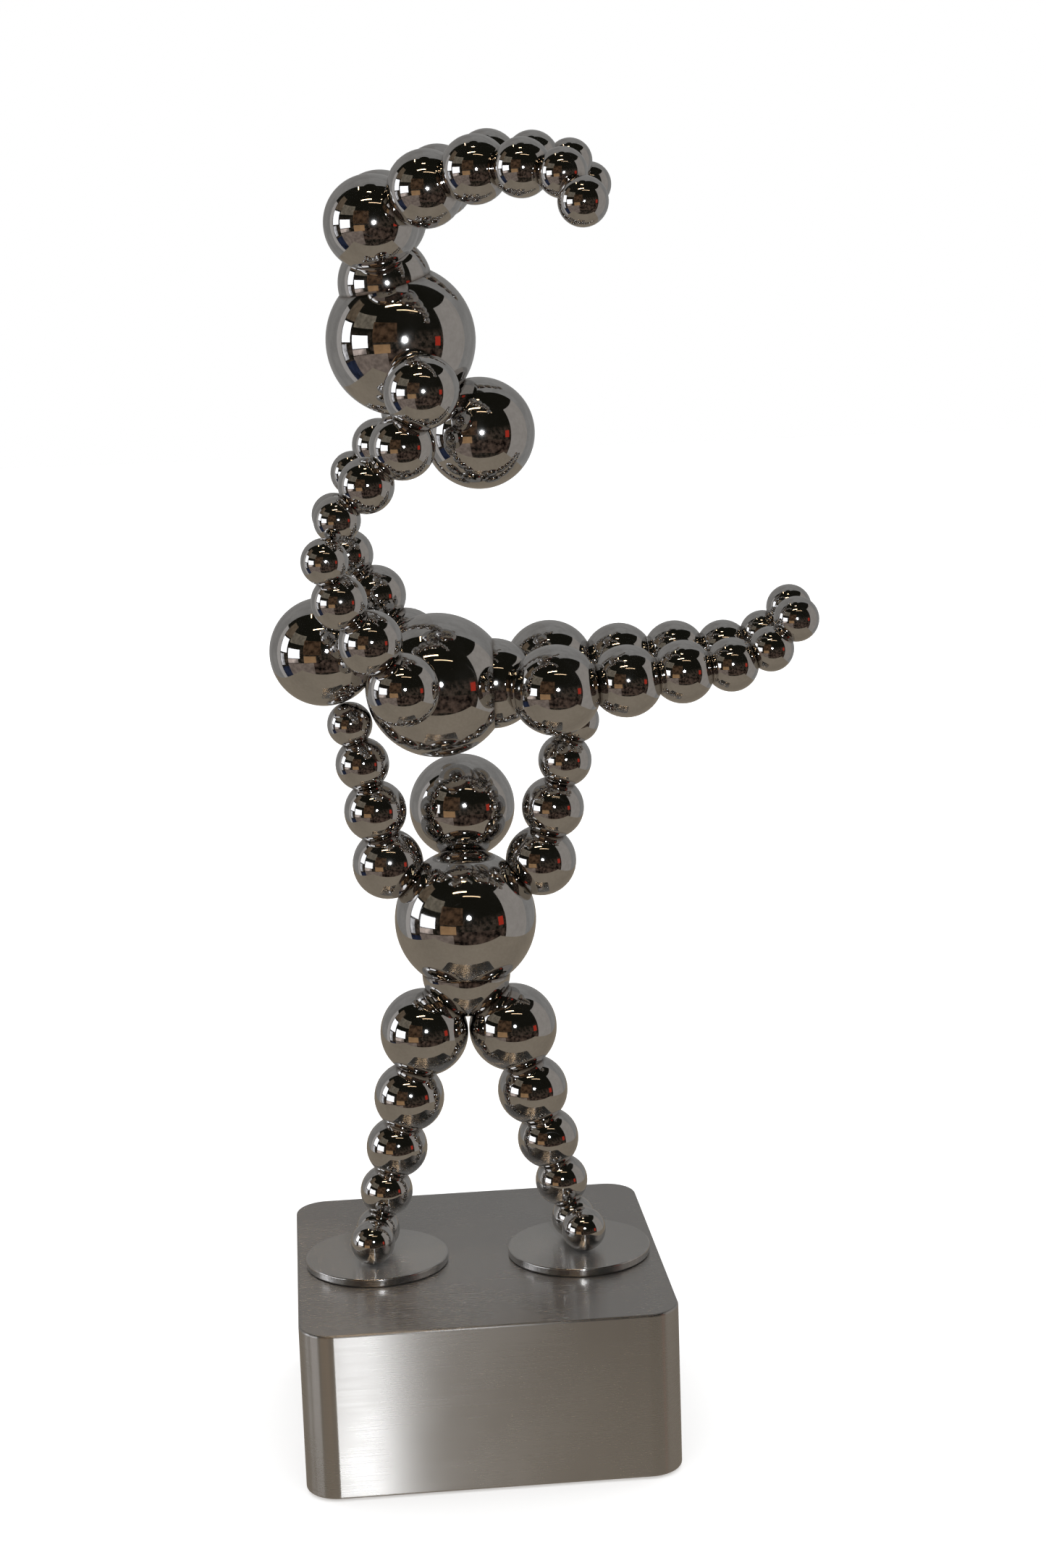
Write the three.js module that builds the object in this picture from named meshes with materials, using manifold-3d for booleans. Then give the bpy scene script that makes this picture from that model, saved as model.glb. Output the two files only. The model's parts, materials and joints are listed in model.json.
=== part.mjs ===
// Magnetic balancing-acrobats desk sculpture.
//
// Three acrobats built of polished steel balls stand on each other on a brushed steel pedestal: the base
// acrobat stands on two steel discs, the middle acrobat lies across the base acrobat's raised hands, and
// the top acrobat does a handstand on the middle acrobat's hands. Within an acrobat the balls are ground
// flat where they meet and are welded. The acrobats only touch each other and the discs, and magnets in
// the hands and under the discs hold them there.
//
// Millimetres, +Z up, -Y towards the viewer. The origin is the centre of the pad under the pedestal.

import * as THREE from 'three';
import { mergeVertices } from 'three/addons/utils/BufferGeometryUtils.js';
import Module from 'manifold-3d';

const wasm = await Module();
wasm.setup();

// ---- Driving dimensions -----------------------------------------------------------------------------

const INCH = 25.4;

// Ball diameters: stock sizes, and a 16 mm ball for the hands and feet.
const BALL_DIAMETER = {
  torso: 2 * INCH,
  head: 1.5 * INCH,
  pelvis: 1.25 * INCH,
  thigh: 1.25 * INCH,
  shoulder: INCH,
  knee: INCH,
  upperArm: 0.875 * INCH,
  calf: 0.875 * INCH,
  forearm: 0.75 * INCH,
  ankle: 0.75 * INCH,
  hand: 16,
  heel: 16,
  toe: 16,
};

// Distance between the centres of two welded balls, as a share of the sum of their radii.
const WELD_SPACING = {
  head: 0.93,
  pelvis: 0.48,
  shoulder: 0.9,
  upperArm: 0.855,
  forearm: 0.86,
  hand: 0.86,
  thigh: 0.83,
  knee: 0.87,
  calf: 0.84,
  ankle: 0.84,
  heel: 0.845,
  toe: 0.845,
};

const GAP = 0.3; // between pieces that touch: the ground faces of a weld, a magnet and its pocket

const PEDESTAL_WIDTH = 132;
const PEDESTAL_DEPTH = 137;
const PEDESTAL_TOP = 60.6;
const PEDESTAL_CORNER = 12;
const PEDESTAL_EDGE = 1;
const PEDESTAL_LIFT = 0.8; // the pad stands proud of the casing by this much
const SHELL_WALL = 6;
const SHELL_ROOF = 11;

const DISC_DIAMETER = 52;
const DISC_THICKNESS = 3;
const DISC_PLACE = { _right: [-36.7, -1.3], _left: [37.2, -4.3] }; // the acrobat's right foot stands at -X
const DISC_EDGE = 0.5;

const DISC_MAGNET_DIAMETER = 16;
const DISC_MAGNET_HEIGHT = 5;
const HAND_MAGNET_DIAMETER = 5.8;
const HAND_MAGNET_LENGTH = 5;
const HAND_POCKET_REACH = 5; // how far past the hand's centre its pocket goes

const BOTTOM_PLATE_THICKNESS = 3;
const PAD_THICKNESS = 2;
const PAD_INSET = 5;

const SCREW_HEAD_DIAMETER = 12;
const SCREW_HEAD_HEIGHT = 1.5;
const SCREW_DIAMETER = 6;
const SCREW_LENGTH = 16;

const OVERSHOOT = 1; // a cutter runs this far past the face it cuts

// ---- Materials --------------------------------------------------------------------------------------

const FINISH = {
  polished: { color: 0xc9c9cc, roughness: 0.04, metalness: 1 },
  brushed: { color: 0x8f8c88, roughness: 0.36, metalness: 1 },
  disc: { color: 0x9a9794, roughness: 0.16, metalness: 1 },
  iron: { color: 0x3a3a3c, roughness: 0.8, metalness: 0.6 },
  magnet: { color: 0xb8b4ac, roughness: 0.25, metalness: 1 },
  zinc: { color: 0xaeb2b6, roughness: 0.4, metalness: 1 },
  pad: { color: 0x161616, roughness: 0.95, metalness: 0 },
};

// ---- Geometry helpers -------------------------------------------------------------------------------

const radians = THREE.MathUtils.degToRad;

// A closed solid from a three.js geometry.
function solid(geometry) {
  const bare = geometry.clone();
  bare.deleteAttribute('normal');
  bare.deleteAttribute('uv');
  const merged = mergeVertices(bare, 1e-4);
  return new wasm.Manifold(new wasm.Mesh({
    numProp: 3,
    vertProperties: new Float32Array(merged.attributes.position.array),
    triVerts: new Uint32Array(merged.index.array),
  }));
}

function geometryOf(body) {
  const mesh = body.getMesh();
  const geometry = new THREE.BufferGeometry();
  const positions = new THREE.BufferAttribute(new Float32Array(mesh.vertProperties), 3);
  geometry.setAttribute('position', positions);
  geometry.setIndex(new THREE.BufferAttribute(new Uint32Array(mesh.triVerts), 1));
  geometry.computeVertexNormals();
  return geometry;
}

function part(name, geometry, finish) {
  const mesh = new THREE.Mesh(geometry, new THREE.MeshStandardMaterial(FINISH[finish]));
  mesh.name = name;
  return mesh;
}

// A ball with its poles on Z and a vertex on each axis. The head and torso get more facets.
function ballGeometry(radius) {
  const around = radius >= BALL_DIAMETER.head / 2 ? 16 : 12;
  return new THREE.SphereGeometry(radius, around, around / 2).rotateX(Math.PI / 2);
}

// A cylinder along Z between two heights.
function cylinder(diameter, low, high, sides) {
  const geometry = new THREE.CylinderGeometry(diameter / 2, diameter / 2, high - low, sides);
  return geometry.rotateX(Math.PI / 2).translate(0, 0, (low + high) / 2);
}

// A block with rounded corners and, if wanted, rounded top and bottom edges.
function roundedBlock(width, depth, corner, low, high, edge = 0) {
  const x = width / 2 - corner;
  const y = depth / 2 - corner;
  const outline = new THREE.Shape();
  outline.absarc(x, y, corner - edge, 0, Math.PI / 2);
  outline.absarc(-x, y, corner - edge, Math.PI / 2, Math.PI);
  outline.absarc(-x, -y, corner - edge, Math.PI, 1.5 * Math.PI);
  outline.absarc(x, -y, corner - edge, 1.5 * Math.PI, 2 * Math.PI);
  const geometry = new THREE.ExtrudeGeometry(outline, {
    depth: high - low - 2 * edge,
    curveSegments: 6,
    bevelEnabled: edge > 0,
    bevelThickness: edge,
    bevelSize: edge,
    bevelSegments: 2,
  });
  return geometry.translate(0, 0, low + edge);
}

// ---- Acrobats ---------------------------------------------------------------------------------------

// The ball that each ball is welded to.
const WELDED_TO = {
  head: 'torso',
  pelvis: 'torso',
  shoulder: 'torso',
  upperArm: 'shoulder',
  forearm: 'upperArm',
  hand: 'forearm',
  thigh: 'pelvis',
  knee: 'thigh',
  calf: 'knee',
  ankle: 'calf',
  heel: 'ankle',
  toe: 'heel',
};

// The pieces of an acrobat. The small balls of a limb are welded into one piece before assembly.
const CENTRE_PIECES = { torso: ['torso'], head: ['head'], pelvis: ['pelvis'] };
const SIDE_PIECES = {
  shoulder: ['shoulder'],
  arm: ['upperArm', 'forearm'],
  hand: ['hand'],
  thigh: ['thigh'],
  shin: ['knee', 'calf', 'ankle'],
  foot: ['heel', 'toe'],
};

// Angles are in degrees, in the acrobat's own upright frame: it faces -Y, its left is +X and its head is up.
// "swing" turns a direction forward and up from straight down: 0 hangs, 90 points forward, 180 points
// straight up. "spread" turns it out to the side.
// "attitude" stands, lays or inverts the acrobat, "turn" are its small rotations about X, Y and Z after
// that, and "hips" turns the legs about Y and Z against the rest. "place" is the centre of the torso.
const BASE_POSE = {
  attitude: new THREE.Matrix4(),
  turn: [0, 1.5, -1],
  place: [0.6, 1.5, 187.1],
  head: 203,
  pelvis: 2,
  shoulder: { swing: 183, spread: 53 },
  arm: { swing: [173, 177, 176], spread: [12, 14, 16] },
  thigh: { swing: 4, spread: 37.5 },
  leg: { swing: [-1, -5, -3, 4, 90], spread: [15, 15, 15, 15, 10] },
  hips: [-1.5, 1],
};

const MIDDLE_POSE = {
  attitude: new THREE.Matrix4().makeBasis(
    new THREE.Vector3(0, 1, 0), new THREE.Vector3(0, 0, -1), new THREE.Vector3(-1, 0, 0)),
  turn: [7.2, 1.3, -3.7],
  place: [-6.4, -2.4, 272.8],
  head: 162,
  pelvis: 1,
  shoulder: { swing: 147, spread: 67 },
  arm: { swing: [122, 124, 107], spread: [5, 6.5, 8] },
  thigh: { swing: 4.8, spread: 37.5 },
  leg: { swing: [5, 7, 6, 20, 48], spread: [-4.1, -4.1, -4.1, -4.1, -9.8] },
  hips: [-2, -1],
};

const TOP_POSE = {
  attitude: new THREE.Matrix4().makeBasis(
    new THREE.Vector3(0, 1, 0), new THREE.Vector3(1, 0, 0), new THREE.Vector3(0, 0, -1)),
  turn: [9.6, -0.5, -6.6],
  place: [-14.6, -13.9, 392.9],
  head: 217,
  pelvis: 12,
  shoulder: { swing: 215, spread: 66 },
  arm: { swing: [158, 134, 136], spread: [-6, 3, 12] },
  thigh: { swing: 5, spread: 37.5 },
  leg: { swing: [-61, -71, -89, -98, -144], spread: [28, 28, 28, 28, 38] },
  hips: [-5, 1],
};

const radiusOf = (ball) => BALL_DIAMETER[ball] / 2;

function direction(swing, spread, side) {
  const out = Math.sin(radians(spread)) * side;
  const reach = Math.cos(radians(spread));
  const angle = radians(swing);
  return new THREE.Vector3(out, -reach * Math.sin(angle), -reach * Math.cos(angle));
}

// Centres of one acrobat's balls. Side balls are keyed as ball_left and ball_right.
function ballCentres(pose) {
  const centres = { torso: new THREE.Vector3() };
  const hips = new THREE.Matrix4().makeRotationZ(radians(pose.hips[1]));
  hips.multiply(new THREE.Matrix4().makeRotationY(radians(pose.hips[0])));

  const weld = (ball, suffix, step) => {
    const host = WELDED_TO[ball];
    const hostCentre = centres[host + suffix] ?? centres[host];
    const spacing = WELD_SPACING[ball] * (radiusOf(ball) + radiusOf(host));
    centres[ball + suffix] = hostCentre.clone().addScaledVector(step, spacing);
  };

  weld('head', '', direction(pose.head, 0, 0));
  weld('pelvis', '', direction(pose.pelvis, 0, 0));
  for (const [suffix, side] of [['_left', 1], ['_right', -1]]) {
    weld('shoulder', suffix, direction(pose.shoulder.swing, pose.shoulder.spread, side));
    ['upperArm', 'forearm', 'hand'].forEach((ball, i) => {
      weld(ball, suffix, direction(pose.arm.swing[i], pose.arm.spread[i], side));
    });
    weld('thigh', suffix, direction(pose.thigh.swing, pose.thigh.spread, side).applyMatrix4(hips));
    ['knee', 'calf', 'ankle', 'heel', 'toe'].forEach((ball, i) => {
      weld(ball, suffix, direction(pose.leg.swing[i], pose.leg.spread[i], side).applyMatrix4(hips));
    });
  }

  const turn = new THREE.Matrix4().makeRotationX(radians(pose.turn[0]));
  turn.premultiply(new THREE.Matrix4().makeRotationY(radians(pose.turn[1])));
  turn.premultiply(new THREE.Matrix4().makeRotationZ(radians(pose.turn[2])));
  turn.multiply(pose.attitude);
  for (const centre of Object.values(centres)) {
    centre.applyMatrix4(turn).add(new THREE.Vector3(...pose.place));
  }
  return centres;
}

// How far the weld between two balls lies from the first ball's centre, along the line to the second.
function seamDistance(firstRadius, secondRadius, spacing) {
  return (spacing ** 2 + firstRadius ** 2 - secondRadius ** 2) / (2 * spacing);
}

// One piece: its balls joined, each ground flat where a ball of another piece is welded on.
function weldedPiece(balls, suffix, centres) {
  const keyOf = (ball) => (centres[ball + suffix] ? ball + suffix : ball);
  const keys = balls.map(keyOf);
  const origin = centres[keys[0]];
  let piece = null;
  for (const ball of balls) {
    const centre = centres[keyOf(ball)];
    const radius = radiusOf(ball);
    let body = solid(ballGeometry(radius));
    for (const [otherKey, otherCentre] of Object.entries(centres)) {
      const other = otherKey.split('_')[0];
      const sameSide = !suffix || !otherKey.includes('_') || otherKey.endsWith(suffix);
      const welded = WELDED_TO[ball] === other || WELDED_TO[other] === ball;
      if (!welded || !sameSide || keys.includes(otherKey)) continue;
      const step = otherCentre.clone().sub(centre);
      const spacing = step.length();
      const inward = step.divideScalar(-spacing);
      const face = seamDistance(radius, radiusOf(other), spacing) - GAP / 2;
      body = body.trimByPlane(inward.toArray(), -face);
    }
    body = body.translate(centre.clone().sub(origin).toArray());
    piece = piece ? piece.add(body) : body;
  }
  return { piece, origin };
}

// The line of a hand's pocket: along the arm, out through the hand.
function armDirection(centres, suffix) {
  return centres['hand' + suffix].clone().sub(centres['forearm' + suffix]).normalize();
}

function alignedToArm(geometry, along) {
  const up = new THREE.Vector3(0, 0, 1);
  return geometry.applyQuaternion(new THREE.Quaternion().setFromUnitVectors(up, along));
}

function acrobat(name, pose) {
  const group = new THREE.Group();
  const centres = ballCentres(pose);
  const place = (mesh, at) => {
    mesh.position.copy(at);
    group.add(mesh);
  };

  for (const [label, balls] of Object.entries(CENTRE_PIECES)) {
    const { piece, origin } = weldedPiece(balls, '', centres);
    place(part(`${name}_${label}`, geometryOf(piece), 'polished'), origin);
  }

  for (const suffix of ['_left', '_right']) {
    const along = armDirection(centres, suffix);
    for (const [label, balls] of Object.entries(SIDE_PIECES)) {
      let { piece, origin } = weldedPiece(balls, suffix, centres);
      if (label === 'hand') {
        const width = HAND_MAGNET_DIAMETER + 2 * GAP;
        const pocket = cylinder(width, -radiusOf('hand') * 2, HAND_POCKET_REACH, 12);
        piece = piece.subtract(solid(alignedToArm(pocket, along)));
      }
      place(part(`${name}_${label}${suffix}`, geometryOf(piece), 'polished'), origin);
    }
    const tip = HAND_POCKET_REACH - GAP;
    const rod = cylinder(HAND_MAGNET_DIAMETER, tip - HAND_MAGNET_LENGTH, tip, 12);
    const magnet = part(`${name}_hand_magnet${suffix}`, alignedToArm(rod, along), 'magnet');
    place(magnet, centres['hand' + suffix]);
  }
  return group;
}

// ---- Pedestal ---------------------------------------------------------------------------------------

// A block that stands this far inside the pedestal's sides.
function pedestalBlock(inset, low, high, edge = 0) {
  const width = PEDESTAL_WIDTH - 2 * inset;
  const depth = PEDESTAL_DEPTH - 2 * inset;
  const corner = PEDESTAL_CORNER - Math.min(inset, SHELL_WALL);
  return roundedBlock(width, depth, corner, low, high, edge);
}

function pedestalCasing() {
  const block = pedestalBlock(0, PEDESTAL_LIFT, PEDESTAL_TOP, PEDESTAL_EDGE);
  const hollow = pedestalBlock(SHELL_WALL, -OVERSHOOT, PEDESTAL_TOP - SHELL_ROOF);
  let casing = solid(block).subtract(solid(hollow));
  for (const [x, y] of Object.values(DISC_PLACE)) {
    const floor = PEDESTAL_TOP - DISC_MAGNET_HEIGHT - 2 * GAP;
    const pocket = cylinder(DISC_MAGNET_DIAMETER + 2 * GAP, floor, PEDESTAL_TOP + OVERSHOOT, 24);
    casing = casing.subtract(solid(pocket.translate(x, y, 0)));
  }
  return part('pedestal_casing', geometryOf(casing), 'brushed');
}

// A disc with a softened rim, turned from a profile that starts and ends on its axis.
function footDisc(suffix, place) {
  const r = DISC_DIAMETER / 2;
  const low = PEDESTAL_TOP + GAP;
  const high = low + DISC_THICKNESS;
  const profile = [
    [0, low],
    [r - DISC_EDGE, low],
    [r, low + DISC_EDGE],
    [r, high - DISC_EDGE],
    [r - DISC_EDGE, high],
    [0, high],
  ].map(([x, y]) => new THREE.Vector2(x, y));
  const geometry = new THREE.LatheGeometry(profile, 32).rotateX(Math.PI / 2);
  const mesh = part(`foot_disc${suffix}`, geometryOf(solid(geometry)), 'disc');
  mesh.position.set(...place, 0);
  return mesh;
}

function discMagnet(suffix, place) {
  const high = PEDESTAL_TOP - GAP;
  const geometry = cylinder(DISC_MAGNET_DIAMETER, high - DISC_MAGNET_HEIGHT, high, 24);
  const mesh = part(`disc_magnet${suffix}`, geometry, 'magnet');
  mesh.position.set(...place, 0);
  return mesh;
}

// The ballast, bottom plate and pad fill the casing from below, and one screw holds the plate to the ballast.
function pedestalInside() {
  const group = new THREE.Group();
  const inset = SHELL_WALL + GAP;
  const plateLow = PAD_THICKNESS + GAP;
  const plateHigh = plateLow + BOTTOM_PLATE_THICKNESS;
  const ballastLow = plateHigh + GAP;
  const ballastHigh = PEDESTAL_TOP - SHELL_ROOF - GAP;
  const bore = SCREW_DIAMETER + 2 * GAP;
  const counterbore = SCREW_HEAD_DIAMETER + 2 * GAP;
  const headLow = plateLow + GAP / 2;
  const headHigh = headLow + SCREW_HEAD_HEIGHT;

  const boreTop = headHigh + SCREW_LENGTH + OVERSHOOT;
  const ballast = solid(pedestalBlock(inset, ballastLow, ballastHigh))
    .subtract(solid(cylinder(bore, ballastLow - OVERSHOOT, boreTop, 16)));
  group.add(part('ballast_block', geometryOf(ballast), 'iron'));

  const plate = solid(pedestalBlock(inset, plateLow, plateHigh))
    .subtract(solid(cylinder(bore, plateLow - OVERSHOOT, plateHigh + OVERSHOOT, 16)))
    .subtract(solid(cylinder(counterbore, plateLow - OVERSHOOT, headHigh + GAP, 16)));
  group.add(part('bottom_plate', geometryOf(plate), 'zinc'));

  const shankLow = headLow + SCREW_HEAD_HEIGHT / 2;
  const screw = solid(cylinder(SCREW_DIAMETER, shankLow, headHigh + SCREW_LENGTH, 16))
    .add(solid(cylinder(SCREW_HEAD_DIAMETER, headLow, headHigh, 16)));
  group.add(part('bottom_plate_screw', geometryOf(screw), 'zinc'));

  const pad = pedestalBlock(inset + PAD_INSET, 0, PAD_THICKNESS);
  group.add(part('pedestal_pad', pad, 'pad'));
  return group;
}

// ---- Assembly ---------------------------------------------------------------------------------------

const sculpture = new THREE.Group();
sculpture.add(pedestalCasing());
sculpture.add(pedestalInside());
for (const [suffix, place] of Object.entries(DISC_PLACE)) {
  sculpture.add(footDisc(suffix, place));
  sculpture.add(discMagnet(suffix, place));
}
sculpture.add(acrobat('base', BASE_POSE));
sculpture.add(acrobat('middle', MIDDLE_POSE));
sculpture.add(acrobat('top', TOP_POSE));

export default sculpture;
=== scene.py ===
import json
import math

import bmesh
import bpy
import numpy as np
from mathutils import Matrix, Vector

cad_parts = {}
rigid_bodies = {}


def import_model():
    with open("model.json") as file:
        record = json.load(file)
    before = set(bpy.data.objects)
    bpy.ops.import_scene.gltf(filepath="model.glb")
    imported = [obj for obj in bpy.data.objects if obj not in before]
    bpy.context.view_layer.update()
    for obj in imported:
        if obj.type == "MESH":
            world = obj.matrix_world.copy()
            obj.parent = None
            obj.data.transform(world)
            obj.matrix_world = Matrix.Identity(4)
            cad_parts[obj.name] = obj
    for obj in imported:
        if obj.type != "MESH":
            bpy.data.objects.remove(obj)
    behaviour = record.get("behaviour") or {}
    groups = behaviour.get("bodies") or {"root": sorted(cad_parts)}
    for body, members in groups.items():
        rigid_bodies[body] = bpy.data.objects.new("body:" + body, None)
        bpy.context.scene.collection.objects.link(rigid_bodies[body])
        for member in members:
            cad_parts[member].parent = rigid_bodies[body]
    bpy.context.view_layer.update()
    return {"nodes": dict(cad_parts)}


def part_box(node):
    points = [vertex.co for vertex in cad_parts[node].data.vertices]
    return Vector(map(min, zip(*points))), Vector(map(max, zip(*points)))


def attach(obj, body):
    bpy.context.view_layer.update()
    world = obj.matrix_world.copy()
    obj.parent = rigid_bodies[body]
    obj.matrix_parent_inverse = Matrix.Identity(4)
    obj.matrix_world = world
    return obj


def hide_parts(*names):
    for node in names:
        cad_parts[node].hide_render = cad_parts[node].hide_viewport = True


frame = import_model()

# Looks of the balancing acrobats. Metres, +Z up, -Y towards the viewer.
#
# Every ball of the CAD is made again as a fine ball, ground flat where it meets its neighbours. The
# pedestal casing and the two discs are made again with finely rounded edges. What is inside the pedestal
# and the hands stays as CAD nodes with better materials.

MM = 0.001
INCH = 25.4 * MM

# Ball diameters of each piece of an acrobat, from the torso outwards.
BALLS = {
    "torso": [("torso", 2 * INCH)],
    "head": [("head", 1.5 * INCH)],
    "pelvis": [("pelvis", 1.25 * INCH)],
    "shoulder": [("shoulder", INCH)],
    "arm": [("upper_arm", 0.875 * INCH), ("forearm", 0.75 * INCH)],
    "hand": [("hand", 16 * MM)],
    "thigh": [("thigh", 1.25 * INCH)],
    "shin": [("knee", INCH), ("calf", 0.875 * INCH), ("ankle", 0.75 * INCH)],
    "foot": [("heel", 16 * MM), ("toe", 16 * MM)],
}
WELDED_TO = {
    "head": "torso",
    "pelvis": "torso",
    "shoulder": "torso",
    "upper_arm": "shoulder",
    "forearm": "upper_arm",
    "hand": "forearm",
    "thigh": "pelvis",
    "knee": "thigh",
    "calf": "knee",
    "ankle": "calf",
    "heel": "ankle",
    "toe": "heel",
}
CENTRE_PIECES = ("torso", "head", "pelvis")
SIDE_PIECES = ("shoulder", "arm", "hand", "thigh", "shin", "foot")
SIDES = ("_left", "_right")
ACROBATS = ("base", "middle", "top")
WELD_GAP = 0.04 * MM  # between the ground faces of two welded balls
WELD_PAINTED_SHADE_REACH = 0.9 * MM  # how far from a weld's rim the steel is painted darker, as painted shade in the weld's crevice
LARGE_BALL = 30 * MM  # above this diameter a ball gets the finer mesh
LARGE_BALL_SUBDIVISIONS = 5
SMALL_BALL_SUBDIVISIONS = 4
CORNER_TOLERANCE = 2e-6  # how far off its sphere a corner of a CAD ball may be
SEPARATE_CENTRES = 1 * MM  # two centres further apart than this are of two balls
NEAR_SURFACE = 0.01  # a point this close to a ball's surface, in radii, is on it
RIM_DROP = 0.02  # a cut point this far off the sphere, in radii, isn't on the rim of its own cut
ROUND_FACE = 0.985  # a face with its centre further out than this, in radii, is part of the round surface
POCKET_RADIUS = 3.2 * MM  # of the hole for the magnet in a hand
POCKET_REACH = 5 * MM  # how far past the hand's centre that hole goes
POCKET_SIDES = 32
POCKET_CUTTER_LENGTH = 4 * POCKET_REACH

CASING_CORNER = 12 * MM
CASING_EDGE = 1.0 * MM
CASING_WALL = 6 * MM
CASING_ROOF = 11 * MM
MAGNET_CLEARANCE = 0.3 * MM
DISC_EDGE = 0.6 * MM
CORNER_SEGMENTS = 24
EDGE_SEGMENTS = 6
DISC_SEGMENTS = 160
POCKET_SEGMENTS = 48
LEVEL_FACE = 0.999  # a face whose normal is this upright is level


# ---- Node helpers -----------------------------------------------------------------------------------------


class Nodes:
    """Short ways to build a node tree."""

    def __init__(self, tree):
        self.tree = tree
        self.tree.nodes.clear()

    def add(self, kind, inputs=None, **settings):
        node = self.tree.nodes.new(kind)
        for key, value in settings.items():
            setattr(node, key, value)
        for key, value in (inputs or {}).items():
            self.put(node.inputs[key], value)
        return node

    def put(self, socket, value):
        if isinstance(value, bpy.types.NodeSocket):
            self.tree.links.new(value, socket)
        else:
            socket.default_value = value

    def math(self, operation, *values):
        node = self.add("ShaderNodeMath", operation=operation)
        for socket, value in zip(node.inputs, values):
            self.put(socket, value)
        return node.outputs[0]

    def between(self, value, low, high, to_low, to_high):
        """The value's place between low and high, taken over to between to_low and to_high."""
        node = self.add("ShaderNodeMapRange", {0: value, 1: low, 2: high, 3: to_low, 4: to_high})
        return node.outputs[0]

    def mix(self, factor, first, second):
        node = self.add("ShaderNodeMix", data_type="RGBA")
        self.put(node.inputs[0], factor)
        self.put(node.inputs[6], first)
        self.put(node.inputs[7], second)
        return node.outputs[2]

    def noise(self, where, scale, detail=3.0, roughness=0.5):
        settings = {"Vector": where, "Scale": scale, "Detail": detail, "Roughness": roughness}
        return self.add("ShaderNodeTexNoise", settings).outputs[0]

    def bump(self, height, distance, strength=1.0, normal=None):
        node = self.add("ShaderNodeBump", {"Strength": strength, "Distance": distance, "Height": height})
        if normal is not None:
            self.put(node.inputs["Normal"], normal)
        return node.outputs[0]


def grey(value, warmth=0.0):
    """A grey, with more red and less blue as warmth grows."""
    return (value * (1 + warmth), value, value * (1 - warmth), 1)


def material(name):
    made = bpy.data.materials.new(name)
    made.use_nodes = True
    return made, Nodes(made.node_tree)


def surface(nodes, **inputs):
    """The Principled shader and the material's output. Underscores in a name stand for spaces."""
    shader = nodes.add("ShaderNodeBsdfPrincipled")
    for key, value in inputs.items():
        nodes.put(shader.inputs[key.replace("_", " ")], value)
    nodes.add("ShaderNodeOutputMaterial", {"Surface": shader.outputs[0]})


# ---- Materials --------------------------------------------------------------------------------------------


SCRATCH_DIRECTIONS = (  # the grain's turn in radians, and the noise from which it counts as a scratch
    ((0.3, 0.9, 0.2), 0.752),
    ((1.4, 0.2, 1.1), 0.754),
    ((0.8, 2.1, 0.6), 0.753),
)
SCRATCH_FADE = 0.04
SCRATCH_SCALE = (90, 3200, 90)
CLEAN_ROUGHNESS = 0.028
SMUDGED_ROUGHNESS = 0.085
SCRATCH_ROUGHNESS = 0.08
SCRATCH_DEPTH = 0.004 * MM
WAVE_DEPTH = 0.04 * MM
# painted shade: the colour and strength of the darkening painted along each weld's crevice
WELD_PAINTED_SHADE = (0.16, 0.125, 0.095, 1)
WELD_PAINTED_SHADE_STRENGTH = 0.75


def polished_steel():
    """Mirror polished steel: smudges from handling, hairline scratches and painted shade darkening the steel
    along each weld's crevice.
    """
    made, n = material("polished_steel_ball")
    where = n.add("ShaderNodeTexCoord").outputs["Object"]
    smudge = n.noise(where, 70, detail=4)
    haze = n.between(smudge, 0.45, 0.75, 0.0, 1.0)
    specks = n.noise(where, 900, detail=2)
    scratches = 0.0
    for turn, start in SCRATCH_DIRECTIONS:
        turned = n.add("ShaderNodeMapping", {"Vector": where, "Rotation": turn, "Scale": SCRATCH_SCALE})
        streaks = n.noise(turned.outputs[0], 1.0, detail=1)
        lines = n.between(streaks, start, start + SCRATCH_FADE, 0.0, 1.0)
        scratches = n.math("MAXIMUM", scratches, lines)
    smudged = n.between(haze, 0, 1, CLEAN_ROUGHNESS, SMUDGED_ROUGHNESS)
    roughness = n.math("ADD", smudged, n.math("MULTIPLY", scratches, SCRATCH_ROUGHNESS))
    weld = n.add("ShaderNodeAttribute", attribute_name="weld").outputs["Fac"]
    tint = n.mix(n.between(specks, 0.35, 0.7, 0, 1), grey(0.60, 0.012), grey(0.64, 0.004))
    # painted shade: the base colour turns darker along each weld's crevice
    colour = n.mix(n.math("MULTIPLY", weld, WELD_PAINTED_SHADE_STRENGTH), tint, WELD_PAINTED_SHADE)
    wave = n.bump(n.noise(where, 45, detail=2), WAVE_DEPTH, 0.25)
    normal = n.bump(scratches, SCRATCH_DEPTH, 0.5, wave)
    surface(n, Base_Color=colour, Metallic=1.0, Roughness=roughness, Normal=normal)
    return made


COARSE_GRAIN = 1500  # lines per metre
FINE_GRAIN = 3800
TURNED_UP = 0.7  # a normal this upright belongs to a top


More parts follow.
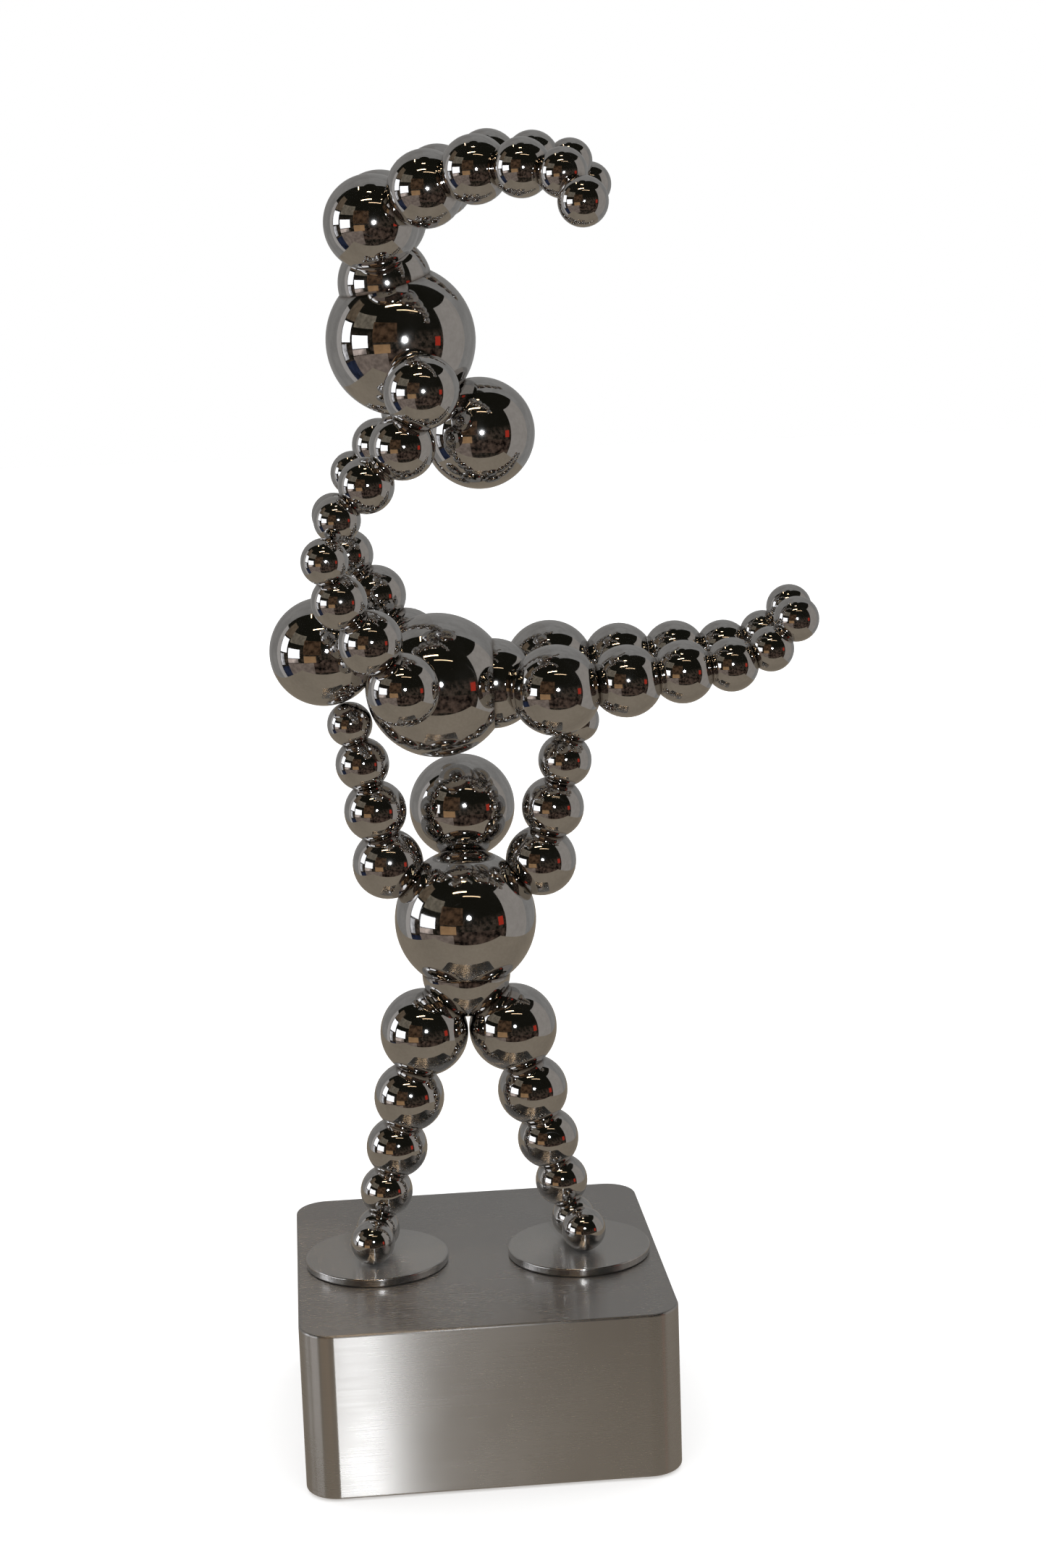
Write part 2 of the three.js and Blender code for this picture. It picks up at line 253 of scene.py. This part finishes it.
def brushed_steel(name, colour, roughness, grain_length, contrast, streak_depth):
    """Brushed steel. The grain runs from side to side on top and level round the sides.

    The brushing scatters light across the grain, so the shader's long axis stands across it.
    """
    made, n = material(name)
    where = n.add("ShaderNodeTexCoord").outputs["Object"]
    facing = n.add("ShaderNodeSeparateXYZ", {0: n.add("ShaderNodeNewGeometry").outputs["Normal"]})
    on_top = n.math("GREATER_THAN", n.math("ABSOLUTE", facing.outputs[2]), TURNED_UP)

    def grain(lines_per_metre):
        along = 1 / grain_length
        top = n.add("ShaderNodeMapping", {"Vector": where, "Scale": (along, lines_per_metre, along)})
        sides = n.add("ShaderNodeMapping", {"Vector": where, "Scale": (along, along, lines_per_metre)})
        both = n.add("ShaderNodeMix", data_type="VECTOR")
        n.put(both.inputs[0], on_top)
        n.put(both.inputs[4], sides.outputs[0])
        n.put(both.inputs[5], top.outputs[0])
        return both.outputs[1]

    coarse = n.noise(grain(COARSE_GRAIN), 1.0, detail=2, roughness=0.5)
    fine = n.noise(grain(FINE_GRAIN), 1.0, detail=1, roughness=0.5)
    lines = n.math("ADD", n.math("MULTIPLY", coarse, 0.5), n.math("MULTIPLY", fine, 0.5))
    cloud = n.noise(where, 26, detail=3)
    shade = n.between(lines, 0.34, 0.66, 1 - 0.12 * contrast, 1 + 0.06 * contrast)
    toned = n.add("ShaderNodeVectorMath", {0: colour}, operation="SCALE")
    n.put(toned.inputs["Scale"], n.math("MULTIPLY", shade, n.between(cloud, 0.3, 0.7, 0.95, 1.04)))
    swing = 0.07 * contrast
    streaky = n.between(lines, 0.3, 0.7, roughness - swing, roughness + swing)
    rough = n.math("ADD", streaky, n.between(cloud, 0.3, 0.7, -0.02, 0.02))
    across = n.add("ShaderNodeMix", data_type="VECTOR")
    n.put(across.inputs[0], on_top)
    across.inputs[4].default_value = (0, 0, 1)
    across.inputs[5].default_value = (0, 1, 0)
    normal = n.bump(lines, streak_depth, 0.6)
    surface(n, Base_Color=toned.outputs[0], Metallic=1.0, Roughness=rough, Anisotropic=1.0,
            Tangent=across.outputs[1], Normal=normal)
    return made


def plain_metal(name, colour, roughness, scale, depth, metallic=1.0):
    """A metal with a mottled surface, for the discs' rims and for what is inside or underneath."""
    made, n = material(name)
    where = n.add("ShaderNodeTexCoord").outputs["Object"]
    mottle = n.noise(where, scale, detail=5, roughness=0.6)
    dark = tuple(channel * 0.75 for channel in colour)
    tint = n.mix(n.between(mottle, 0.3, 0.7, 0, 1), (*dark, 1), (*colour, 1))
    rough = n.between(mottle, 0.3, 0.7, roughness + 0.08, roughness - 0.04)
    surface(n, Base_Color=tint, Metallic=metallic, Roughness=rough, Normal=n.bump(mottle, depth, 0.6))
    return made


def foam_rubber():
    """Black foamed rubber with a fine cell pattern."""
    made, n = material("foam_rubber_pad")
    where = n.add("ShaderNodeTexCoord").outputs["Object"]
    cells = n.add("ShaderNodeTexVoronoi", {"Vector": where, "Scale": 1400}).outputs["Distance"]
    tint = n.mix(cells, grey(0.006), grey(0.022))
    surface(n, Base_Color=tint, Roughness=n.between(cells, 0, 1, 0.95, 0.8), Normal=n.bump(cells, 0.0001))
    return made


MIRROR = polished_steel()
BRUSHED = brushed_steel("brushed_steel_casing", (0.56, 0.55, 0.54), 0.27, 35 * MM, 0.2, 0.00002 * MM)
SATIN = brushed_steel("satin_steel_disc", (0.60, 0.59, 0.575), 0.25, 20 * MM, 0.2, 0.00002 * MM)
RIM = plain_metal("polished_disc_rim", (0.68, 0.67, 0.66), 0.15, 600, 0.0001 * MM)
NICKEL = plain_metal("nickel_plate_magnet", (0.62, 0.60, 0.56), 0.22, 400, 0.01 * MM)
IRON = plain_metal("cast_iron_ballast", (0.05, 0.05, 0.052), 0.7, 900, 0.3 * MM, metallic=0.6)
ZINC = plain_metal("zinc_plate_sheet", (0.45, 0.46, 0.47), 0.35, 120, 0.02 * MM)
RUBBER = foam_rubber()


# ---- Mesh helpers -----------------------------------------------------------------------------------------


def finished(name, made, material_made, normal_of=None, weld_of=None):
    """An object from a bmesh. normal_of gives the normal at a corner of a face, weld_of the painted shade
    along the welds.
    """
    mesh = bpy.data.meshes.new(name)
    made.normal_update()
    made.to_mesh(mesh)
    made.free()
    mesh.materials.append(material_made)
    # painted shade along the welds, kept on each vertex for the steel's colour
    if weld_of:
        layer = mesh.attributes.new("weld", "FLOAT", "POINT")
        for vertex in mesh.vertices:
            layer.data[vertex.index].value = weld_of(vertex.co)
    if normal_of:
        mesh.polygons.foreach_set("use_smooth", [True] * len(mesh.polygons))
        normals = [None] * len(mesh.loops)
        for polygon in mesh.polygons:
            for loop in polygon.loop_indices:
                point = mesh.vertices[mesh.loops[loop].vertex_index].co
                normals[loop] = normal_of(point, polygon)
        mesh.normals_split_custom_set(normals)
    piece = bpy.data.objects.new(name, mesh)
    bpy.context.scene.collection.objects.link(piece)
    return piece


def ring(made, points):
    return [made.verts.new(point) for point in points]


def join_rings(made, first, second):
    """Quads between two rings of equal length."""
    count = len(first)
    for i in range(count):
        j = (i + 1) % count
        made.faces.new((first[i], first[j], second[j], second[i]))


def circle(centre, radius, height, sides):
    points = []
    for i in range(sides):
        angle = 2 * math.pi * i / sides
        points.append((centre.x + radius * math.cos(angle), centre.y + radius * math.sin(angle), height))
    return points


# ---- Balls ------------------------------------------------------------------------------------------------


def ball_centres(node_name, radii):
    """For each radius, the two likeliest centres in a node, the likelier first.

    A CAD ball has a vertex at each end of each of its axes. The second centre matters for a foot, where the
    two balls are alike.
    """
    corners = np.array([v.co for v in frame["nodes"][node_name].data.vertices], float)
    found = []
    for radius in radii:
        best = []
        for axis in np.vstack([np.eye(3), -np.eye(3)]):
            for corner in corners:
                centre = corner + axis * radius
                hits = np.abs(np.linalg.norm(corners - centre, axis=1) - radius) < CORNER_TOLERANCE
                best.append((int(hits.sum()), centre))
        best.sort(key=lambda entry: -entry[0])
        choices = []
        for hits, centre in best:
            if all(np.linalg.norm(centre - other) > SEPARATE_CENTRES for other in choices):
                choices.append(centre)
            if len(choices) == 2:
                break
        found.append(choices)
    return found


def acrobat_balls(acrobat):
    """Centre and radius of each ball of an acrobat, keyed by the ball's name and its side."""
    balls = {}

    def gather(piece, side):
        names = BALLS[piece]
        radii = [diameter / 2 for _, diameter in names]
        choices = ball_centres(f"{acrobat}_{piece}{side}", radii)
        if piece == "foot":
            ankle = balls["ankle" + side][0]
            pair = sorted(choices[0], key=lambda c: (Vector(c) - ankle).length)
            choices = [[pair[0]], [pair[1]]]
        for (ball, diameter), options in zip(names, choices):
            balls[ball + side] = (Vector(options[0]), diameter / 2)

    for piece in CENTRE_PIECES:
        gather(piece, "")
    for side in SIDES:
        for piece in SIDE_PIECES:
            gather(piece, side)
    return balls


def neighbours(balls, ball, side):
    """The balls welded to this one."""
    found = []
    for key, value in balls.items():
        name, _, other_side = key.rpartition("_") if key.endswith(("_left", "_right")) else (key, "", "")
        other_side = "_" + other_side if other_side else ""
        welded = WELDED_TO.get(ball) == name or WELDED_TO.get(name) == ball
        if welded and (not side or not other_side or side == other_side):
            found.append(value)
    return found


def weld_planes(centre, radius, others):
    """The unit direction and the distance of each weld's plane from the ball's centre."""
    planes = []
    for other_centre, other_radius in others:
        step = other_centre - centre
        spacing = step.length
        distance = (spacing ** 2 + radius ** 2 - other_radius ** 2) / (2 * spacing)
        planes.append((step / spacing, distance))
    return planes


def ground_ball(centre, radius, planes):
    """A fine ball, ground flat at each weld, as a bmesh."""
    made = bmesh.new()
    subdivisions = LARGE_BALL_SUBDIVISIONS if 2 * radius > LARGE_BALL else SMALL_BALL_SUBDIVISIONS
    bmesh.ops.create_icosphere(made, subdivisions=subdivisions, radius=radius)
    for direction, distance in planes:
        cut = distance - WELD_GAP / 2
        geometry = made.verts[:] + made.edges[:] + made.faces[:]
        result = bmesh.ops.bisect_plane(
            made, geom=geometry, plane_co=direction * cut, plane_no=direction, clear_outer=True)
        rim = [item for item in result["geom_cut"] if isinstance(item, bmesh.types.BMVert)]
        edges = [item for item in result["geom_cut"] if isinstance(item, bmesh.types.BMEdge)]
        rim_radius = math.sqrt(radius ** 2 - cut ** 2)
        for vertex in rim:
            if abs(vertex.co.length - radius) > RIM_DROP * radius:
                continue
            flat = vertex.co - direction * vertex.co.dot(direction)
            vertex.co = direction * cut + flat.normalized() * rim_radius
        bmesh.ops.holes_fill(made, edges=edges, sides=0)
    bmesh.ops.recalc_face_normals(made, faces=made.faces)
    bmesh.ops.translate(made, verts=made.verts, vec=centre)
    return made


def bored(name, made, centre, direction):
    """The hand with its magnet's hole, bored from the forearm's side."""
    hole = bmesh.new()
    depth = POCKET_CUTTER_LENGTH
    bmesh.ops.create_cone(
        hole, cap_ends=True, segments=POCKET_SIDES, radius1=POCKET_RADIUS, radius2=POCKET_RADIUS,
        depth=depth)
    turn = Vector((0, 0, 1)).rotation_difference(direction).to_matrix().to_4x4()
    place = Matrix.Translation(centre + direction * (POCKET_REACH - depth / 2)) @ turn
    bmesh.ops.transform(hole, matrix=place, verts=hole.verts)
    body = finished(name, made, MIRROR)
    tool = finished(name + "_hole", hole, MIRROR)
    cut = body.modifiers.new("hole", "BOOLEAN")
    cut.operation = "DIFFERENCE"
    cut.solver = "EXACT"
    cut.object = tool
    evaluated = body.evaluated_get(bpy.context.evaluated_depsgraph_get())
    result = bmesh.new()
    result.from_mesh(evaluated.to_mesh())
    evaluated.to_mesh_clear()
    for scrap in (body, tool):
        bpy.data.meshes.remove(scrap.data)
    return result


def weld_shade(point, balls, planes_of):
    """Painted shade along a weld's crevice: 1 at a weld, fading to 0 away from it."""
    shade = 0.0
    for (centre, radius), planes in zip(balls, planes_of):
        if abs((point - centre).length - radius) > NEAR_SURFACE * radius:
            continue
        for direction, distance in planes:
            rim = math.sqrt(radius ** 2 - distance ** 2)
            offset = point - centre
            along = offset.dot(direction)
            out = (offset - direction * along).length
            gap = math.hypot(along - distance, out - rim)
            shade = max(shade, 1 - gap / WELD_PAINTED_SHADE_REACH)
    return shade


def ball_piece(acrobat, piece, side, balls):
    """One piece of an acrobat, in the place of its CAD node."""
    node = f"{acrobat}_{piece}{side}"
    joined = bmesh.new()
    own = []
    planes_of = []
    for ball, _ in BALLS[piece]:
        centre, radius = balls[ball + side]
        planes = weld_planes(centre, radius, neighbours(balls, ball, side))
        made = ground_ball(centre, radius, planes)
        if piece == "hand":
            made = bored(node + "_body", made, centre, -planes[0][0])
        scratch = bpy.data.meshes.new("scratch")
        made.to_mesh(scratch)
        made.free()
        joined.from_mesh(scratch)
        bpy.data.meshes.remove(scratch)
        own.append((centre, radius))
        planes_of.append(planes)

    def normal_of(point, polygon):
        for centre, radius in own:
            rounded = (polygon.center - centre).length > ROUND_FACE * radius
            if rounded and abs((point - centre).length - radius) < NEAR_SURFACE * radius:
                return (point - centre).normalized()
        return polygon.normal.copy()

    # the steel is painted darker along each weld, as painted shade in the crevice
    made = finished(node + "_polished", joined, MIRROR, normal_of,
                    lambda point: weld_shade(point, own, planes_of))
    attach(made, acrobat + "_acrobat")
    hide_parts(node)


for acrobat in ACROBATS:
    balls = acrobat_balls(acrobat)
    for piece in CENTRE_PIECES:
        ball_piece(acrobat, piece, "", balls)
    for side in SIDES:
        for piece in SIDE_PIECES:
            ball_piece(acrobat, piece, side, balls)


# ---- Pedestal ---------------------------------------------------------------------------------------------


def rounded_outline(half_x, half_y, corner):
    """Points round a rectangle with rounded corners, from the corner at +X and +Y, anticlockwise."""
    points = []
    for quarter, (sx, sy) in enumerate(((1, 1), (-1, 1), (-1, -1), (1, -1))):
        for i in range(CORNER_SEGMENTS + 1):
            angle = (quarter + i / CORNER_SEGMENTS) * math.pi / 2
            x = sx * (half_x - corner) + corner * math.cos(angle)
            y = sy * (half_y - corner) + corner * math.sin(angle)
            points.append((x, y))
    return points


def casing():
    """The pedestal's casing: a hollow block with rounded corners, rounded edges and two magnet pockets."""
    low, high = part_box("pedestal_casing")
    centre = (low + high) / 2
    half_x = (high.x - low.x) / 2
    half_y = (high.y - low.y) / 2
    made = bmesh.new()

    def loop(inset, corner, height):
        outline = rounded_outline(half_x - inset, half_y - inset, corner)
        return ring(made, [(centre.x + x, centre.y + y, height) for x, y in outline])

    rings = []
    for i in range(EDGE_SEGMENTS + 1):
        angle = math.pi / 2 * i / EDGE_SEGMENTS
        inset = CASING_EDGE * (1 - math.sin(angle))
        rings.append(loop(inset, CASING_CORNER - inset, low.z + CASING_EDGE * (1 - math.cos(angle))))
    for i in range(EDGE_SEGMENTS + 1):
        angle = math.pi / 2 * i / EDGE_SEGMENTS
        inset = CASING_EDGE * (1 - math.cos(angle))
        rings.append(loop(inset, CASING_CORNER - inset, high.z - CASING_EDGE * (1 - math.sin(angle))))
    inner_low = loop(CASING_WALL, CASING_CORNER - CASING_WALL, low.z)
    inner_high = loop(CASING_WALL, CASING_CORNER - CASING_WALL, high.z - CASING_ROOF)
    for first, second in zip(rings, rings[1:]):
        join_rings(made, first, second)
    join_rings(made, inner_low, rings[0])
    join_rings(made, inner_high, inner_low)
    made.faces.new(inner_high)

    hole_edges = []
    for side in ("_right", "_left"):
        magnet_low, magnet_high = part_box("disc_magnet" + side)
        middle = (magnet_low + magnet_high) / 2
        radius = (magnet_high.x - magnet_low.x) / 2 + MAGNET_CLEARANCE
        mouth = ring(made, circle(middle, radius, high.z, POCKET_SEGMENTS))
        floor = ring(made, circle(middle, radius, magnet_low.z - MAGNET_CLEARANCE, POCKET_SEGMENTS))
        join_rings(made, mouth, floor)
        made.faces.new(floor)
        hole_edges += [made.edges.get((mouth[i - 1], mouth[i])) for i in range(POCKET_SEGMENTS)]
    top = rings[-1]
    top_edges = [made.edges.get((top[i - 1], top[i])) for i in range(len(top))]
    bmesh.ops.triangle_fill(made, edges=top_edges + hole_edges, use_beauty=True, normal=(0, 0, 1))
    bmesh.ops.recalc_face_normals(made, faces=made.faces)

    def normal_of(point, polygon):
        x = point.x - centre.x
        y = point.y - centre.y
        reach_x = half_x - CASING_CORNER
        reach_y = half_y - CASING_CORNER
        out = Vector((x - max(-reach_x, min(reach_x, x)), y - max(-reach_y, min(reach_y, y)), 0))
        outside = abs(x) > half_x - 2 * CASING_EDGE or abs(y) > half_y - 2 * CASING_EDGE
        outside = outside or out.length > CASING_CORNER - 2 * CASING_EDGE
        if not outside or abs(polygon.normal.z) > LEVEL_FACE:
            return polygon.normal.copy()
        level = max(low.z + CASING_EDGE, min(high.z - CASING_EDGE, point.z))
        wall = max(out.length - (CASING_CORNER - CASING_EDGE), 0)
        normal = Vector((0, 0, point.z - level))
        if out.length > 0:
            normal += out.normalized() * wall
        return normal.normalized() if normal.length > 0 else polygon.normal.copy()

    piece = finished("casing_brushed", made, BRUSHED, normal_of)
    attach(piece, "pedestal")
    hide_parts("pedestal_casing")


def foot_disc(side):
    """A disc with a rounded, polished rim."""
    low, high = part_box("foot_disc" + side)
    centre = (low + high) / 2
    radius = (high.x - low.x) / 2
    made = bmesh.new()
    rings = []
    for i in range(EDGE_SEGMENTS + 1):
        angle = math.pi / 2 * i / EDGE_SEGMENTS
        out = radius - DISC_EDGE * (1 - math.sin(angle))
        height = low.z + DISC_EDGE * (1 - math.cos(angle))
        rings.append(ring(made, circle(centre, out, height, DISC_SEGMENTS)))
    for i in range(EDGE_SEGMENTS + 1):
        angle = math.pi / 2 * i / EDGE_SEGMENTS
        out = radius - DISC_EDGE * (1 - math.cos(angle))
        height = high.z - DISC_EDGE * (1 - math.sin(angle))
        rings.append(ring(made, circle(centre, out, height, DISC_SEGMENTS)))
    for first, second in zip(rings, rings[1:]):
        join_rings(made, first, second)
    made.faces.new(rings[0])
    made.faces.new(rings[-1])
    bmesh.ops.recalc_face_normals(made, faces=made.faces)

    def normal_of(point, polygon):
        if abs(polygon.normal.z) > LEVEL_FACE:
            return polygon.normal.copy()
        out = Vector((point.x - centre.x, point.y - centre.y, 0))
        level = max(low.z + DISC_EDGE, min(high.z - DISC_EDGE, point.z))
        wall = out.length - (radius - DISC_EDGE)
        return (out.normalized() * wall + Vector((0, 0, point.z - level))).normalized()

    piece = finished("foot_disc_turned" + side, made, SATIN, normal_of)
    piece.data.materials.append(RIM)
    for polygon in piece.data.polygons:
        polygon.material_index = 0 if abs(polygon.normal.z) > LEVEL_FACE else 1
    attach(piece, "pedestal")
    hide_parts("foot_disc" + side)


casing()
foot_disc("_right")
foot_disc("_left")

KEPT_NODES = {
    "ballast_block": IRON,
    "bottom_plate": ZINC,
    "bottom_plate_screw": ZINC,
    "pedestal_pad": RUBBER,
    "disc_magnet_right": NICKEL,
    "disc_magnet_left": NICKEL,
}
for acrobat in ACROBATS:
    for side in SIDES:
        KEPT_NODES[f"{acrobat}_hand_magnet{side}"] = NICKEL
for name, finish in KEPT_NODES.items():
    materials = frame["nodes"][name].data.materials
    if not materials:
        materials.append(finish)
    for i in range(len(materials)):
        materials[i] = finish


# ---- Stage ------------------------------------------------------------------------------------------------

VIEW_CENTRE = Vector((0, 0, 0.2))
FLOOR_REACH = 6
FLOOR_COLOUR = grey(0.95)
FLOOR_LIFT = 0.35  # light that the floor gives off, so that it stays white round the object
TABLE = (0.247, 0.21, 0.165)
TABLE_CLUTTER = 0.08
TABLE_LOW = (-0.47, -0.33)
TABLE_HIGH = (0.45, 1.2)
TABLE_LEVEL = -0.5 * MM
ROOM_DARK = (0.009, 0.0085, 0.006, 1)
ROOM_LIGHT = (0.075, 0.055, 0.042, 1)
CARD_STEPS = 6
TUBE_DISTANCE = 2.8
TUBE_GREEN = 0.72  # as a share of red
TUBE_BLUE = 0.45

WALL = (0.245, 0.237, 0.228)
WINDOW = (1.8, 1.83, 1.9)
LOWEST = -50
CARDS = (  # name, colour, azimuths, elevations, distance, clutter
    ("back_left_wall", WALL, (-180, -116), (LOWEST, 80), 3.0, 0.1),
    ("left_strip", (0.43, 0.41, 0.395), (-117, -105), (LOWEST, 35), 2.9, 0.0),
    ("back_right_wall", (0.262, 0.257, 0.25), (112, 180), (LOWEST, 80), 3.0, 0.1),
    ("door", (0.32, 0.297, 0.276), (65, 114), (LOWEST, 43), 2.8, 0.05),
    ("window_1", WINDOW, (-104, -86), (3, 24), 3.4, 0.0),
    ("window_1_low", (0.5, 0.5, 0.52), (-104, -94), (-15, 1), 3.4, 0.9),
    ("window_2", WINDOW, (-82, -54), (-5, 11), 3.4, 0.0),
    ("sill", (0.5, 0.42, 0.38), (-83, -58), (-13, -6), 3.4, 0.5),
    ("lintel_1", (0.12, 0.09, 0.062), (-104, -82), (26, 48), 3.6, 0.3),
    ("lintel_2", (0.17, 0.148, 0.115), (-82, -44), (20, 38), 3.6, 0.3),
    ("shelves", (0.06, 0.035, 0.02), (-46, -8), (2, 30), 3.2, 0.7),
    ("cardboard", (0.34, 0.205, 0.105), (-45, -19), (-13, 0), 2.4, 0.15),
    ("room_floor", (0.2, 0.16, 0.137), (-84, -24), (-48, -14), 3.4, 0.25),
    ("blue_box", (0.015, 0.02, 0.04), (-106, -83), (-42, -17), 2.8, 0.5),
    ("clutter_low", (0.05, 0.034, 0.026), (-24, 62), (-36, -9), 3.4, 0.9),
    ("red_spot", (0.42, 0.035, 0.02), (51, 60), (-4, 8), 2.6, 0.0),
)
TUBES = (  # name, azimuth and elevation of the start and of the end, width, strength
    ("tube_1", (-33, 53), (2, 57), 0.075, 12),
    ("tube_2", (-8, 49), (31, 44), 0.05, 3),
    ("tube_3", (-23, 75), (4, 75), 0.075, 12),
    ("tube_4", (-116, 72), (-84, 72), 0.06, 8),
)

FLASH_COLOUR = (0.94, 0.97, 1.0)
FLASH_PLACE = (0.036, -0.908, 0.415)
FLASH_IN_TABLE_TOP = (-0.041, -0.908, -0.35)  # a mirror image of the flash, below the floor


def heading(azimuth, elevation):
    """A direction seen from the object: azimuth 0 is towards the camera and 90 is +X."""
    az = math.radians(azimuth)
    el = math.radians(elevation)
    return Vector((math.sin(az) * math.cos(el), -math.cos(az) * math.cos(el), math.sin(el)))


def glow(name, colour, clutter=0.0):
    """The light of a card. Clutter breaks it up into lighter and darker patches."""
    made, n = material(name)
    emission = n.add("ShaderNodeEmission", {"Color": (*colour, 1), "Strength": 1.0})
    if clutter:
        where = n.add("ShaderNodeTexCoord").outputs["Object"]
        patches = n.noise(where, 2.2, detail=3)
        n.put(emission.inputs["Strength"], n.between(patches, 0.35, 0.65, 1 - clutter, 1 + clutter))
    n.add("ShaderNodeOutputMaterial", {"Surface": emission.outputs[0]})
    return made


def stage_mesh(name, points, faces, finish):
    """A flat or curved sheet of the stage."""
    mesh = bpy.data.meshes.new(name)
    mesh.from_pydata(points, [], faces)
    mesh.materials.append(finish)
    made = bpy.data.objects.new(name, mesh)
    bpy.context.scene.collection.objects.link(made)
    return made


def hide_from_dull_surfaces(made):
    """Leaves a card for the steel's reflections only."""
    made.visible_camera = False
    made.visible_diffuse = False
    made.visible_shadow = False


def card(name, colour, azimuths, elevations, distance, clutter):
    """A card that the steel reflects and the camera doesn't see, as part of a sphere round the object."""
    points = []
    for i in range(CARD_STEPS + 1):
        azimuth = azimuths[0] + (azimuths[1] - azimuths[0]) * i / CARD_STEPS
        for elevation in elevations:
            points.append(VIEW_CENTRE + heading(azimuth, elevation) * distance)
    faces = [(2 * i, 2 * i + 1, 2 * i + 3, 2 * i + 2) for i in range(CARD_STEPS)]
    hide_from_dull_surfaces(stage_mesh(name, points, faces, glow(name, colour, clutter)))


def tube(name, start, end, width, strength):
    """A fluorescent tube between two (azimuth, elevation) directions."""
    first = VIEW_CENTRE + heading(*start) * TUBE_DISTANCE
    last = VIEW_CENTRE + heading(*end) * TUBE_DISTANCE
    across = (last - first).cross((first + last) / 2 - VIEW_CENTRE).normalized() * width / 2
    points = [first - across, first + across, last + across, last - across]
    finish = glow(name, (strength, strength * TUBE_GREEN, strength * TUBE_BLUE))
    hide_from_dull_surfaces(stage_mesh(name, points, [(0, 1, 2, 3)], finish))


def flat_plane(name, low, high, height, finish):
    corners = [(low[0], low[1]), (high[0], low[1]), (high[0], high[1]), (low[0], high[1])]
    return stage_mesh(name, [(x, y, height) for x, y in corners], [(0, 1, 2, 3)], finish)


def world():
    """White to the camera and to dull surfaces. In the steel it is a dim room."""
    made = bpy.data.worlds.new("studio")
    made.use_nodes = True
    bpy.context.scene.world = made
    n = Nodes(made.node_tree)
    where = n.add("ShaderNodeTexCoord").outputs["Generated"]
    height = n.add("ShaderNodeSeparateXYZ", {0: where}).outputs[2]
    things = n.between(n.noise(where, 9.0, detail=5, roughness=0.65), 0.42, 0.66, 0, 1)
    low_down = n.between(height, 0.25, 0.1, 0, 1)
    room = n.mix(n.math("MULTIPLY", things, low_down), ROOM_DARK, ROOM_LIGHT)
    dim = n.add("ShaderNodeBackground", {"Color": room, "Strength": 1.0})
    bright = n.add("ShaderNodeBackground", {"Color": (1, 1, 1, 1), "Strength": 1.0})
    is_glossy = n.add("ShaderNodeLightPath").outputs["Is Glossy Ray"]
    chosen = n.add("ShaderNodeMixShader", {0: is_glossy, 1: bright.outputs[0], 2: dim.outputs[0]})
    n.add("ShaderNodeOutputWorld", {"Surface": chosen.outputs[0]})


def floor():
    """A pale floor. In the steel there is a grey table top instead, with the dim room round it."""
    made, n = material("studio_floor")
    pale = n.add("ShaderNodeBsdfDiffuse", {"Color": FLOOR_COLOUR})
    lift = n.add("ShaderNodeEmission", {"Color": (1, 1, 1, 1), "Strength": FLOOR_LIFT})
    shown = n.add("ShaderNodeAddShader", {0: pale.outputs[0], 1: lift.outputs[0]})
    n.add("ShaderNodeOutputMaterial", {"Surface": shown.outputs[0]})
    plane = flat_plane("studio_floor", (-FLOOR_REACH, -FLOOR_REACH), (FLOOR_REACH, FLOOR_REACH), 0, made)
    plane.visible_glossy = False
    plane.visible_shadow = False
    finish = glow("table_top", TABLE, TABLE_CLUTTER)
    hide_from_dull_surfaces(flat_plane("table_top", TABLE_LOW, TABLE_HIGH, TABLE_LEVEL, finish))


def flash(name, place, size, energy, lit):
    """A small bright light that lights only some of the pieces. Size in metres, energy in watts."""
    light = bpy.data.lights.new(name, "AREA")
    light.shape = "DISK"
    light.size = size
    light.energy = energy
    light.color = FLASH_COLOUR
    made = bpy.data.objects.new(name, light)
    place = Vector(place)
    aim = (place - VIEW_CENTRE).to_track_quat("Z", "Y").to_matrix().to_4x4()
    made.matrix_world = Matrix.Translation(place) @ aim
    made.visible_camera = False
    made.visible_diffuse = False
    bpy.context.scene.collection.objects.link(made)
    receivers = bpy.data.collections.new(name + "_lights")
    for piece in lit:
        receivers.objects.link(piece)
    made.light_linking.receiver_collection = receivers


def linked(names):
    return [bpy.data.objects[name] for name in names]


world()
floor()
for row in CARDS:
    card(*row)
for row in TUBES:
    tube(*row)
polished = [made for made in bpy.data.objects if made.name.endswith("_polished")]
discs = linked(["foot_disc_turned_right", "foot_disc_turned_left"])
casing_only = linked(["casing_brushed"])
flash("flash", FLASH_PLACE, 0.1, 7.5, polished)
flash("flash_on_discs", FLASH_PLACE, 0.07, 1.2, discs)
flash("flash_on_casing", FLASH_PLACE, 0.07, 0.2, casing_only)
flash("flash_in_table_top", FLASH_IN_TABLE_TOP, 0.025, 0.3, casing_only)


# ---- Camera -----------------------------------------------------------------------------------------------


CAMERA_PLACE = (-0.0536, -0.9082, 0.4074)
CAMERA_RIGHT = Vector((0.99534, -0.09022, -0.03398))
CAMERA_UP = Vector((0.05000, 0.18174, 0.98208))
CAMERA_LENS = 59.806  # millimetres
SENSOR_WIDTH = 36


def camera():
    """The camera, in the place and turn solved from the photograph."""
    data = bpy.data.cameras.new("camera")
    data.sensor_fit = "AUTO"
    data.sensor_width = SENSOR_WIDTH
    data.lens = CAMERA_LENS
    made = bpy.data.objects.new("camera", data)
    bpy.context.scene.collection.objects.link(made)
    backward = CAMERA_RIGHT.cross(CAMERA_UP)
    turn = Matrix((CAMERA_RIGHT, CAMERA_UP, backward)).transposed().to_4x4()
    made.matrix_world = Matrix.Translation(CAMERA_PLACE) @ turn
    bpy.context.scene.camera = made


camera()
bpy.context.scene.view_settings.view_transform = "Standard"
